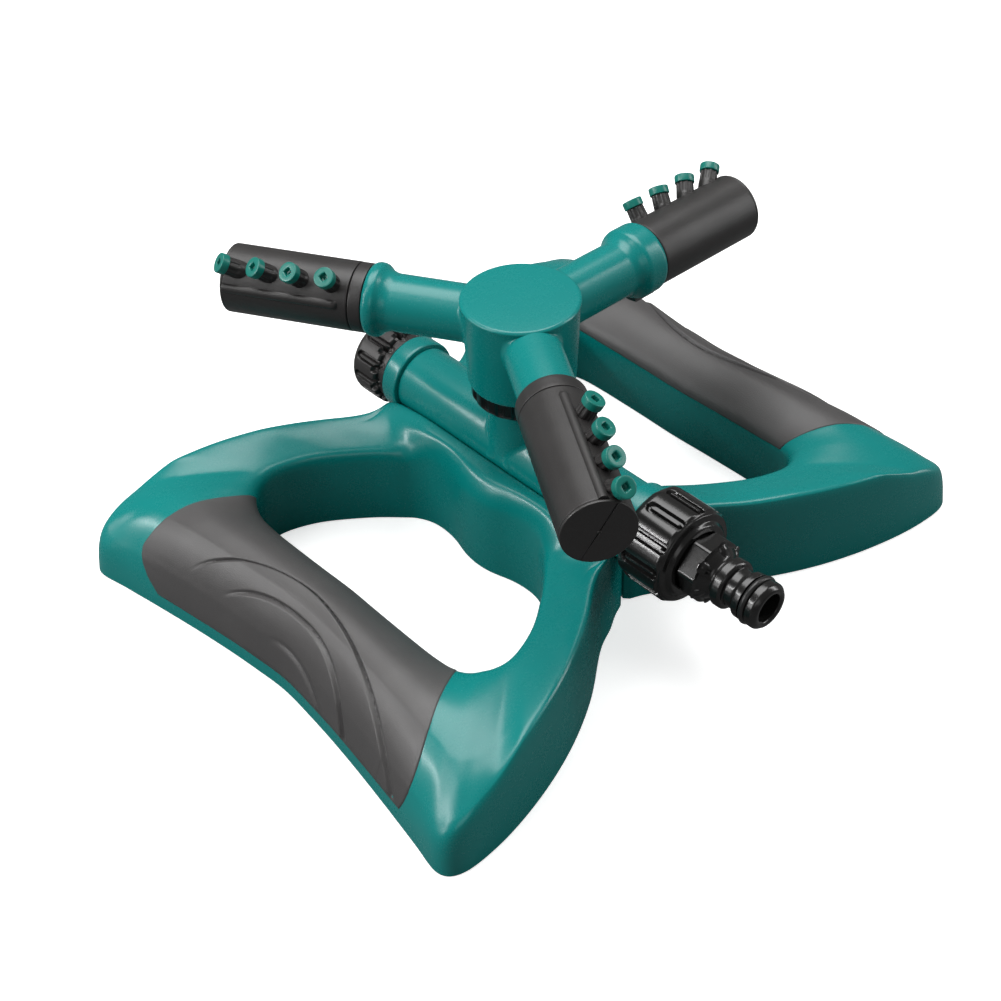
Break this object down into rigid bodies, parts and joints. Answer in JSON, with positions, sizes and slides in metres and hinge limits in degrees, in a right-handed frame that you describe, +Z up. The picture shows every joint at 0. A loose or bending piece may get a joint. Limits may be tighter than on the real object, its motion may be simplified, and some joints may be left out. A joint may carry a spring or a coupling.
{
  "type": "rotating lawn sprinkler",
  "caption": "Rotating lawn sprinkler: nozzle arms on a swivel post over a winged base with soft grips, fed through a quick-connect hose inlet.",
  "frame": {"origin": "on the ground plane, on the axis the rotor turns about", "axes": "+Z up along the rotor axis; -Y along the water tube towards the hose inlet; wings of the base at -X and +X"},
  "size_m": [0.239, 0.2029, 0.1078],
  "materials": {
    "teal_plastic": "satin moulded plastic",
    "tip_plastic": "satin moulded plastic",
    "grip_rubber": "soft matt",
    "black_plastic": "fine matt texture",
    "gloss_black_plastic": "glossy",
    "seal_rubber": "smooth",
    "slip_plastic": "smooth",
    "screw_steel": "zinc plated"
  },
  "bodies": {
    "base": {"base_shell": "teal_plastic", "grip_left": "grip_rubber", "grip_right": "grip_rubber", "tube_cradle": "teal_plastic", "water_tee": "teal_plastic", "tee_screws": "screw_steel", "swivel_o_ring": "seal_rubber"},
    "cap_seat": {"end_cap_seal": "seal_rubber"},
    "cap": {"end_cap": "black_plastic"},
    "inlet": {"hose_nipple": "gloss_black_plastic", "nipple_o_ring": "seal_rubber", "inlet_washer": "seal_rubber"},
    "nut": {"coupling_nut": "gloss_black_plastic"},
    "rotor": {"rotor_hub": "teal_plastic", "rotor_cap": "teal_plastic", "arm_tube_front": "teal_plastic", "arm_tube_right": "teal_plastic", "arm_tube_left": "teal_plastic", "barrel_seal_front": "seal_rubber", "barrel_seal_right": "seal_rubber", "barrel_seal_left": "seal_rubber", "lock_ring_front": "black_plastic", "lock_ring_left": "black_plastic"},
    "collar_seat": {"slip_washer": "slip_plastic"},
    "collar": {"swivel_collar": "gloss_black_plastic"},
    "spray_front": {"barrel_front": "black_plastic", "end_plug_front": "black_plastic", "nozzle_tips_front": "tip_plastic"},
    "spray_right": {"barrel_right": "black_plastic", "end_plug_right": "black_plastic", "nozzle_tips_right": "tip_plastic"},
    "spray_left": {"barrel_left": "black_plastic", "end_plug_left": "black_plastic", "nozzle_tips_left": "tip_plastic"}
  },
  "joints": [
    {"name": "rotor_spin", "type": "hinge", "parent": "base", "child": "rotor", "pos_m": [0, 0, 0.0912], "axis": [0, 0, 1], "continuous": true},
    {"name": "cap_travel", "type": "slide", "parent": "base", "child": "cap_seat", "axis": [0, 1, 0], "range_m": [0, 0.00725]},
    {"name": "cap_unscrew", "type": "hinge", "parent": "cap_seat", "child": "cap", "pos_m": [0, 0.068, 0.0398], "axis": [0, 1, 0], "range_deg": [0, 1440]},
    {"name": "inlet_travel", "type": "slide", "parent": "base", "child": "inlet", "axis": [0, -1, 0], "range_m": [0, 0.00725]},
    {"name": "nut_unscrew", "type": "hinge", "parent": "inlet", "child": "nut", "pos_m": [0, -0.069, 0.0398], "axis": [0, -1, 0], "range_deg": [0, 1440]},
    {"name": "collar_travel", "type": "slide", "parent": "rotor", "child": "collar_seat", "axis": [0, 0, -1], "range_m": [0, 0.00544]},
    {"name": "collar_unscrew", "type": "hinge", "parent": "collar_seat", "child": "collar", "pos_m": [0, 0, 0.069], "axis": [0, 0, -1], "range_deg": [0, 1080]},
    {"name": "spray_angle_front", "type": "hinge", "parent": "rotor", "child": "spray_front", "pos_m": [-0.0384, -0.06441, 0.09002], "axis": [-0.512, -0.8589, -0.0157], "range_deg": [-50, 70]},
    {"name": "spray_angle_right", "type": "hinge", "parent": "rotor", "child": "spray_right", "pos_m": [0.07498, -0.00105, 0.09002], "axis": [0.9998, -0.014, -0.0157], "range_deg": [-50, 70]},
    {"name": "spray_angle_left", "type": "hinge", "parent": "rotor", "child": "spray_left", "pos_m": [-0.03658, 0.06546, 0.09002], "axis": [-0.4878, 0.8728, -0.0157], "range_deg": [-50, 70]}
  ],
  "couplings": [
    {"joint": "cap_unscrew", "follows": "cap_travel", "rad_per_m": 3463.7},
    {"joint": "nut_unscrew", "follows": "inlet_travel", "rad_per_m": 3463.7},
    {"joint": "collar_unscrew", "follows": "collar_travel", "rad_per_m": 3463.7}
  ]
}
